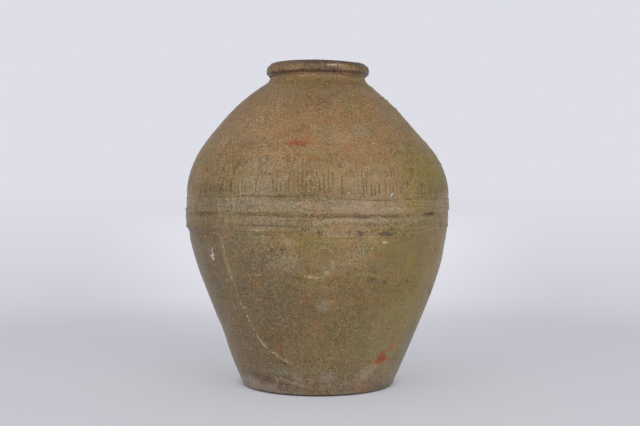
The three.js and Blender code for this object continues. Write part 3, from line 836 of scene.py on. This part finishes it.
def add_node(tree, kind, inputs, output=0, **settings):
    """A new node with its inputs joined, as the field of one of its outputs."""
    node = tree.nodes.new(kind)
    for name, value in settings.items():
        setattr(node, name, value)
    for key, value in inputs.items():
        join(value, node.inputs[key])
    return Field(tree, node.outputs[output])


def operator(operation, swapped=False):
    """A method of fields that adds a math node for two values."""
    def method(self, other):
        return self.math(operation, *((other, self) if swapped else (self, other)))
    return method


class Field:
    """A number, vector or colour that nodes give all over a surface; each method adds nodes."""

    def __init__(self, tree, socket):
        self.tree = tree
        self.socket = socket

    def node(self, kind, inputs, output=0, **settings):
        return add_node(self.tree, kind, inputs, output, **settings)

    def math(self, operation, *values):
        return self.node("ShaderNodeMath", dict(enumerate(values)), operation=operation)

    __add__ = __radd__ = operator("ADD")
    __mul__ = __rmul__ = operator("MULTIPLY")
    __sub__ = operator("SUBTRACT")
    __rsub__ = operator("SUBTRACT", swapped=True)
    __truediv__ = operator("DIVIDE")
    __rtruediv__ = operator("DIVIDE", swapped=True)
    __pow__ = operator("POWER")
    most = operator("MAXIMUM")

    def __abs__(self):
        return self.math("ABSOLUTE", self)

    def vector(self, operation, *values, output=0):
        inputs = dict(enumerate((self, *values)))
        return self.node("ShaderNodeVectorMath", inputs, output, operation=operation)

    def length(self):
        return self.vector("LENGTH", output="Value")

    def parts(self):
        """The X, Y and Z of a vector."""
        separate = self.node("ShaderNodeSeparateXYZ", {0: self}).socket.node
        return [Field(self.tree, socket) for socket in separate.outputs]

    def rise(self, low, high, top=1.0):
        """0 below low, top above high and a smooth rise between; low may be above high for a fall."""
        inputs = {"Value": self, "From Min": low, "From Max": high, "To Min": 0.0, "To Max": top}
        return self.node("ShaderNodeMapRange", inputs, interpolation_type="SMOOTHSTEP", clamp=False)

    def band(self, low, high, soft):
        """1 between low and high, with soft edges."""
        return self.rise(low - soft, low + soft) * self.rise(high + soft, high - soft)

    def blend(self, first, second):
        """The first colour where this field is 0, the second where it is 1."""
        return self.node("ShaderNodeMix", {0: self, 6: first, 7: second}, 2, data_type="RGBA")

    def noise(self, size, seed, detail=2.0, output="Fac"):
        """Cloudy noise about 0.5 at places; size is the distance between its lumps."""
        inputs = {"Vector": self, "W": seed * SEED_STEP, "Scale": 1 / size, "Detail": detail}
        inputs["Roughness"] = 0.55
        return self.node("ShaderNodeTexNoise", inputs, output, noise_dimensions="4D")

    def attribute(self, name):
        return self.node("ShaderNodeAttribute", {}, "Fac", attribute_name=name)


def new_material(slot):
    """A material, its shader, and the place on a surface in metres."""
    material = bpy.data.materials.new(slot + "_finish")
    material.use_nodes = True
    tree = material.node_tree
    return material, tree.nodes["Principled BSDF"], add_node(tree, "ShaderNodeTexCoord", {}, "Object")


def in_mm(spot):
    return spot.node("ShaderNodeVectorMath", {0: spot, "Scale": 1 / MM}, operation="SCALE")


def turn_and_height(place):
    """The turn in degrees and the height of a place."""
    across, back, height = place.parts()
    return across.math("ARCTAN2", across, back * -1.0) * (180 / math.pi), height


def finished(material, shader, colour, roughness, relief, distance):
    """The material with colour, roughness and fine bump joined to its shader."""
    bump = relief.node("ShaderNodeBump", {"Height": relief, "Distance": distance, "Strength": 1.0})
    for name, value in (("Base Color", colour), ("Roughness", roughness), ("Normal", bump)):
        join(value, shader.inputs[name])
    return material


def ground_colour(height):
    """The glaze's ground colour by height."""
    top = GROUND[-1][0]
    ramp = height.node("ShaderNodeValToRGB", {0: height / top})
    steps = ramp.socket.node.color_ramp.elements
    for level, *colour in GROUND[1:-1]:
        steps.new(level / top).color = srgb(*colour)
    for end in (0, -1):
        steps[end].color = srgb(*GROUND[end][1:])
    return ramp


def lumpy(colour, place, kinds, where=1.0):
    """The colour with lumps of other colours on it."""
    for tint, size, seed, detail, low, high, strength in kinds:
        lumps = place.noise(size, seed, detail).rise(low, high, strength)
        colour = (lumps * where).blend(colour, tint)
    return colour


def wandering(flat, place, size, seed, sway):
    """Turn and height as one vector, moved about by noise so that stains and painted highlights get ragged
    edges.
    """
    cloud = place.noise(size, seed, 3.0, "Color").vector("SUBTRACT", (0.5, 0.5, 0.5))
    return flat.vector("ADD", cloud.vector("MULTIPLY", sway))


def stain(flat, spot):
    """The strength at a place of one stain or one painted highlight."""
    turn, height, wide, tall, strength = spot
    near = flat.vector("MULTIPLY_ADD", (1 / wide, 1 / tall, 0), (-turn / wide, -height / tall, 0))
    return near.length().rise(*SPOT_EDGE, strength)


def spots_between(spots, low, high):
    """The spots that reach between two heights, once more from the other side if they cross the back."""
    for turn, height, wide, tall, strength in spots:
        if low - SPOT_REACH * tall < height < high + SPOT_REACH * tall:
            yield turn, height, wide, tall, strength
            if abs(turn) + SPOT_REACH * wide + SPOT_SWAY >= 180:
                yield turn - math.copysign(360, turn), height, wide, tall, strength


def stains_and_highlights(colour, place, turn, height, low, high):
    """The stains, and the painted highlights among them, that reach a piece between two heights."""
    flat = turn.node("ShaderNodeCombineXYZ", {0: turn, 1: height})
    broad, close = (wandering(flat, place, *edge) for edge in (BROAD_EDGE, CLOSE_EDGE))
    worn = place.noise(*SPOT_WEAR).rise(0.28, 0.62)
    for tint, wear, spots in STAINS_AND_HIGHLIGHTS:
        near = list(spots_between(spots, low, high))
        if near:
            strengths = (stain(broad if min(spot[2:4]) > BROAD_SPOT else close, spot) for spot in near)
            colour = (reduce(Field.most, strengths) * (worn * wear + (1 - wear))).blend(colour, tint)
    return colour


def crack_middle(height):
    """The turn of the crack by height, as a curve that runs from 0 to 1 both ways."""
    tall, wide = 200.0, 60.0
    curve = height.node("ShaderNodeFloatCurve", {"Value": height / tall})
    mapping = curve.socket.node.mapping
    points = [(level / tall, (turn + wide) / wide) for level, turn in CRACK]
    line = mapping.curves[0].points
    line[0].location, line[1].location = points[0], points[-1]
    for point in points[1:-1]:
        line.new(*point)
    mapping.update()
    return curve * wide - wide


def cracked(colour, place, turn, height):
    """The pale broken crack of the lower wall, with a short second line beside it and a pale stain."""
    across = turn + (place.noise(*CRACK_RAGGED) - 0.5) * CRACK_SWAY - crack_middle(height)
    away = abs(across)
    first = away.rise(*CRACK_LINE) * height.band(*CRACKED)
    second = abs(across - SECOND_BESIDE).rise(*SECOND_LINE) * height.band(*SECOND_CRACKED)
    broken = place.noise(*CRACK_BROKEN).rise(0.41, 0.56, 0.68)
    lines = first.most(second) * broken * (1.0 - height.rise(*CRACK_FAINT))
    beside = reduce(Field.most, (height.band(*band) for band in CRACK_STAINED))
    pale = away.rise(*CRACK_PALE) * beside * (broken + 0.2)
    return lines.most(pale).blend(colour, CREAM)


def rimmed(colour, place, turn, height):
    """The lip: ochre with pale flecks, dark where the glaze ran off its upper edge, and dark along its lower
    edge, partly from its glaze and partly painted shade under its corner.
    """
    facing = place.node("ShaderNodeNewGeometry", {}, "Normal").parts()[2]
    ragged = place.noise(*LIP_RAGGED) * 2.0 - 1.0
    on_lip = height.rise(*LIP_FROM)
    right = turn.band(*LIP_RIGHT)
    worn = turn.band(*LIP_FRONT).most(right * 0.8) * ragged.rise(-0.8, -0.1)
    base = (worn * 0.85).blend(RIM_OCHRE, RIM_BROWN)
    colour = (on_lip * 0.75).blend(colour, base)
    blots = place.noise(*LIP_BLOTS).rise(0.47, 0.6, 0.6) * (right * 0.6 + 0.4)
    colour = (on_lip * blots).blend(colour, RIM_DARK)
    flecked = turn.band(*FLECKED_LEFT) * 0.25 + turn.band(*FLECKED_RIGHT)
    flecks = place.noise(*LIP_FLECKS).rise(0.44, 0.58, 0.6) * height.band(*FLECKED)
    colour = (flecks * flecked).blend(colour, CREAM)
    above = (ragged * 0.5 + facing).rise(0.3, 0.7) * (1.0 - turn.band(*LIP_LEFT) * 0.5)
    # Dark along the lip's lower edge: partly its glaze, partly painted shade under its corner.
    below = (ragged * 3.0 + height).rise(*LIP_LOWER_EDGE)
    edges = above.most(below) * height.rise(*LIP_EDGES_FROM)
    return (edges * 0.72).blend(colour, RIM_DARK)


def contact_shaded(colour, place, height):
    """A painted contact shadow: a dark line along the foot's lower edge."""
    ragged = place.noise(*FOOT_RAGGED) * 2.0 + (height - 1.0)
    return ragged.rise(*CONTACT_SHADE_EDGE).blend(colour, CONTACT_SHADE)


def marked(colour, place, height):
    """Brown in combed strokes and grooves, dark olive in the line along the girdle's top."""
    dark = height.rise(*LOW_LINES).blend(TOOLED, LINE_DARK)
    dark = height.band(*UPPER_OLIVE).blend(dark, OLIVE_DARK)
    kept = place.noise(*TOOLED_KEPT).rise(0.1, 0.42)
    return (place.attribute("tooled") * kept).blend(colour, dark)


def grain_force(place, turn, height):
    """How strong the fine grain is: more high up and on the left, less low on the right."""
    smooth = turn.band(*GRAIN_WEAK) * height.rise(*GRAIN_WEAK_BELOW)
    left = turn.band(*GRAIN_STRONG) * 0.42
    rough = place.noise(*GRAIN_PATCHES).rise(0.36, 0.64, 0.9)
    return rough.most(height.rise(*GRAIN_STRONG_ABOVE).most(left)) + 0.8 - smooth * 0.6


def brightness(fine, place, turn, height):
    """Light and dark about 1: grain, upright streaks on the left of the girdle and turning lines on it."""
    clouds = place.noise(*CLOUDS)
    upright = turn.node("ShaderNodeCombineXYZ", {0: turn, 1: height * STREAK_STRETCH})
    streaks = upright.noise(*STREAKS) * 1.6 - 0.77
    streaked = height.band(*STREAKED) * turn.band(*STREAKED_LEFT)
    lines = place.vector("MULTIPLY", LINE_STRETCH).noise(*TURNING_LINES) * 0.9 - 0.45
    lined = height.band(*LINED) * 0.7 + 0.3
    return fine + clouds * 0.5 + 0.75 - streaks * streaked + lines * lined


def grained(colour, place, turn, height, grain, lumps):
    """The colour with light and dark, warmer and greener places, pale dust and specks."""
    force = grain_force(place, turn, height)
    fine = (grain - 0.5) * force
    shades = brightness(fine + (lumps * 0.5 - 0.25), place, turn, height)
    for size, seed, tint in TINTS:
        shades = (place.noise(size, seed, 3.0) - 0.5).vector("MULTIPLY_ADD", tint, shades)
    colour = colour.vector("MULTIPLY_ADD", shades, fine * 0.14)
    return lumpy(colour, place, SPECKS)


def bare_clay(place):
    return place.noise(*CLAY_CLOUDS).blend(CLAY_DARK, CLAY)


def glaze(slot, low, high):
    """Ash glaze on the outside of the pieces of a slot, between two heights, and bare clay inside."""
    material, shader, spot = new_material(slot)
    place = in_mm(spot)
    turn, height = turn_and_height(place)
    colour = lumpy(ground_colour(height), place, DRIFTS)
    colour = stains_and_highlights(colour, place, turn, height, low, high)
    if low < CRACK[-1][0]:
        colour = cracked(colour, place, turn, height)
    if low < SCUFFED_BELOW:
        colour = lumpy(colour, place, SCUFFS, height.band(*SCUFFED))
    # A painted contact shadow along the foot's lower edge.
    if low < CONTACT_SHADE_BELOW:
        colour = contact_shaded(colour, place, height)
    if high > LIP_ABOVE:
        colour = rimmed(colour, place, turn, height)
    colour = marked(colour, place, height)
    grain, lumps = place.noise(*GRAIN), place.noise(*LUMPS)
    colour = grained(colour, place, turn, height, grain, lumps)
    inside = place.attribute("inside")
    colour = inside.blend(colour, bare_clay(place))
    gloss = place.noise(*GLOSS).rise(0.35, 0.68)
    rough = (0.62 - gloss * 0.16).most(inside * 0.85)
    for name, value in GLEAM.items():
        shader.inputs[name].default_value = value
    return finished(material, shader, colour, rough, lumps * 0.6 + grain, GLAZE_BUMP)


def clay(slot):
    """Bare fired clay with grit, for the inside."""
    material, shader, spot = new_material(slot)
    place = in_mm(spot)
    grit = place.noise(*GRIT)
    colour = grit.rise(0.6, 0.72, 0.6).blend(bare_clay(place), UMBER)
    colour = grit.rise(0.36, 0.26, 0.5).blend(colour, ASH)
    return finished(material, shader, colour, grit * 0.15 + 0.78, grit, CLAY_BUMP)


# Stage

FLOOR_RINGS, FLOOR_COLUMNS = (0.25, 0.5, 1.0, 2.0, 4.0, 12.0, 60.0), 96
FLOOR_NEAR, FLOOR_FAR = 0.30, 0.95  # between these distances the paper's own light gives way to the backdrop
FLOOR_EVEN = 0.56  # share of even light on the paper near the jar, which softens the shadow
FLOOR_CONTACT = (0.0775, 0.0825)  # between these distances it sets in, so that the foot keeps its dark line
FLOOR_SHADE = (0.076, 0.094)  # and between these from a point behind the axis, for the shadow falls back
FLOOR_SHADE_BACK = 0.012
FLOOR_DIM = 0.252  # share of the backdrop's light that its lower end lacks, at the distance FLOOR_DIM_AT
FLOOR_DIM_AT = 0.6
FLOOR_DIM_FADE = 0.8
POOL = 0.17  # brightness of the fan of light on the paper behind the jar
POOL_WIDTH, POOL_SPREAD = 0.55, 0.45  # its width at the jar and how fast it widens behind it
POOL_EDGE = (0.5, 0.1)  # shares of its width between which it sets in
POOL_START, POOL_END = (0.1, 0.8), (9.0, 2.0)  # distances behind the jar between which it sets in and fades
PAPER, PAPER_PALE = srgb(237, 237, 244), srgb(240, 240, 247)
PAPER_FIBRE = 0.004
PAPER_ROUGHNESS = 0.9
BACKDROP = srgb(222, 222, 230)
WORLD_COLOUR = srgb(238, 240, 246)
WORLD_LIGHT = 0.5
SEEN_RAYS = ("Is Camera Ray", "Is Glossy Ray", "Is Transmission Ray")
# Lamps: name, place, size, watts and colour; all aim at the jar's middle.
LAMPS = (
    ("key", (1.2, -1.9, 0.85), 1.7, 23, (1.0, 0.99, 0.97)),
    ("fill", (-1.6, -1.7, 0.7), 1.7, 18, (1.0, 0.99, 0.98)),
    ("top", (0.0, 0.2, 2.2), 1.8, 4, (1.0, 1.0, 1.0)),
)
LAMP_AIM = (0, 0, 0.17)


def seen_share(spot):
    """1 for rays from the camera and for reflections, else 0."""
    return reduce(Field.most, (spot.node("ShaderNodeLightPath", {}, ray) for ray in SEEN_RAYS))


def pool_of_light(spot):
    """A soft fan of light on the paper behind the jar."""
    aside, behind = spot.parts()[:2]
    share = abs(aside) / (behind * POOL_SPREAD + POOL_WIDTH)
    return share.rise(*POOL_EDGE, POOL) * (behind.rise(*POOL_START) * behind.rise(*POOL_END))


def paper_material():
    """Pale paper that takes the jar's shadow and fades into the backdrop far away."""
    material, shader, spot = new_material("paper")
    join(spot.noise(PAPER_FIBRE, 30).blend(PAPER, PAPER_PALE), shader.inputs["Base Color"])
    shader.inputs["Roughness"].default_value = PAPER_ROUGHNESS
    away = spot.length()
    beside = spot.vector("SUBTRACT", (0, FLOOR_SHADE_BACK, 0)).length()
    near = beside.rise(*FLOOR_SHADE, FLOOR_EVEN) * away.rise(*FLOOR_CONTACT)
    even = away.rise(FLOOR_NEAR, FLOOR_FAR, 1 - FLOOR_EVEN) + near
    dim = (FLOOR_DIM_AT / away.most(FLOOR_DIM_AT)) ** FLOOR_DIM_FADE * FLOOR_DIM
    level = 1.0 - dim + pool_of_light(spot)
    glow = spot.node("ShaderNodeEmission", {"Color": BACKDROP, "Strength": level})
    paper = Field(spot.tree, shader.outputs[0])
    mixed = spot.node("ShaderNodeMixShader", {0: even * seen_share(spot), 1: paper, 2: glow})
    join(mixed, spot.tree.nodes["Material Output"].inputs["Surface"])
    return material


def make_floor():
    """A wide pale floor, flat under the jar."""
    points = [(0, 0, 0)]
    for ring in FLOOR_RINGS:
        for j in range(FLOOR_COLUMNS):
            angle = 2 * math.pi * j / FLOOR_COLUMNS
            points.append((ring * math.cos(angle), ring * math.sin(angle), 0))
    starts = range(1, len(points), FLOOR_COLUMNS)
    faces = ring_faces(starts[0], 0, FLOOR_COLUMNS, 1)
    for inner, outer in zip(starts, starts[1:]):
        faces += ring_faces(outer, inner, FLOOR_COLUMNS, FLOOR_COLUMNS)
    mesh = bpy.data.meshes.new("floor")
    mesh.from_pydata(points, [], faces)
    mesh.materials.append(paper_material())
    floor = new_object("floor", mesh)


def make_world():
    """Even pale light all round, and the backdrop's colour where the camera looks past the floor."""
    world = bpy.data.worlds.new("studio")
    bpy.context.scene.world = world
    world.use_nodes = True
    tree = world.node_tree
    light = tree.nodes["Background"]
    light.inputs["Color"].default_value = WORLD_COLOUR
    light.inputs["Strength"].default_value = WORLD_LIGHT
    seen = add_node(tree, "ShaderNodeBackground", {"Color": BACKDROP})
    ray = add_node(tree, "ShaderNodeLightPath", {}, "Is Camera Ray")
    mixed = add_node(tree, "ShaderNodeMixShader", {0: ray, 1: Field(tree, light.outputs[0]), 2: seen})
    join(mixed, tree.nodes["World Output"].inputs["Surface"])


def make_lights():
    for name, place, size, watts, colour in LAMPS:
        lamp = bpy.data.lights.new(name, "AREA")
        lamp.shape = "SQUARE"
        lamp.size = size
        lamp.energy = watts
        lamp.color = colour
        light = new_object(name, lamp)
        light.location = place
        direction = Vector(LAMP_AIM) - Vector(place)
        light.rotation_euler = direction.to_track_quat("-Z", "Y").to_euler()


def make_camera():
    camera = bpy.data.cameras.new("camera")
    camera.sensor_width = SENSOR_WIDTH
    camera.lens = CAMERA_LENS
    camera.shift_x = JAR_OFF_CENTRE / IMAGE_WIDTH
    holder = new_object("camera", camera)
    holder.location = (0, -CAMERA_DISTANCE, CAMERA_HEIGHT)
    holder.rotation_euler = (math.radians(90 - CAMERA_TILT), 0, 0)
    bpy.context.scene.camera = holder


PIECES = {
    "base_disc": "bare_clay",
    "base_corner_coil": "inner_clay",
    "lower_wall": "lower_glaze",
    "belly_seam_coil": "inner_clay",
    "girdle_upper_strip": "girdle_glaze",
    "girdle_lower_strip": "girdle_glaze",
    "shoulder_wall": "shoulder_glaze",
    "neck_collar": "shoulder_glaze",
    "rim_roll": "rim_glaze",
}


def slot_material(slot):
    """The slot's material; a glaze gets only the stains and painted highlights within its own heights."""
    if slot == "inner_clay":
        return clay(slot)
    boxes = [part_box(node) for node, named in PIECES.items() if named == slot]
    return glaze(slot, min(b[0][2] for b in boxes) / MM, max(b[1][2] for b in boxes) / MM)


bpy.context.scene.view_settings.view_transform = "Standard"
envelope = outer_envelope(PIECES)
shapes = girdle_shapes(envelope)
finishes = {slot: slot_material(slot) for slot in sorted(set(PIECES.values()))}
for node, slot in PIECES.items():
    dressed(node, envelope, shapes, finishes[slot])
make_floor()
make_world()
make_lights()
make_camera()
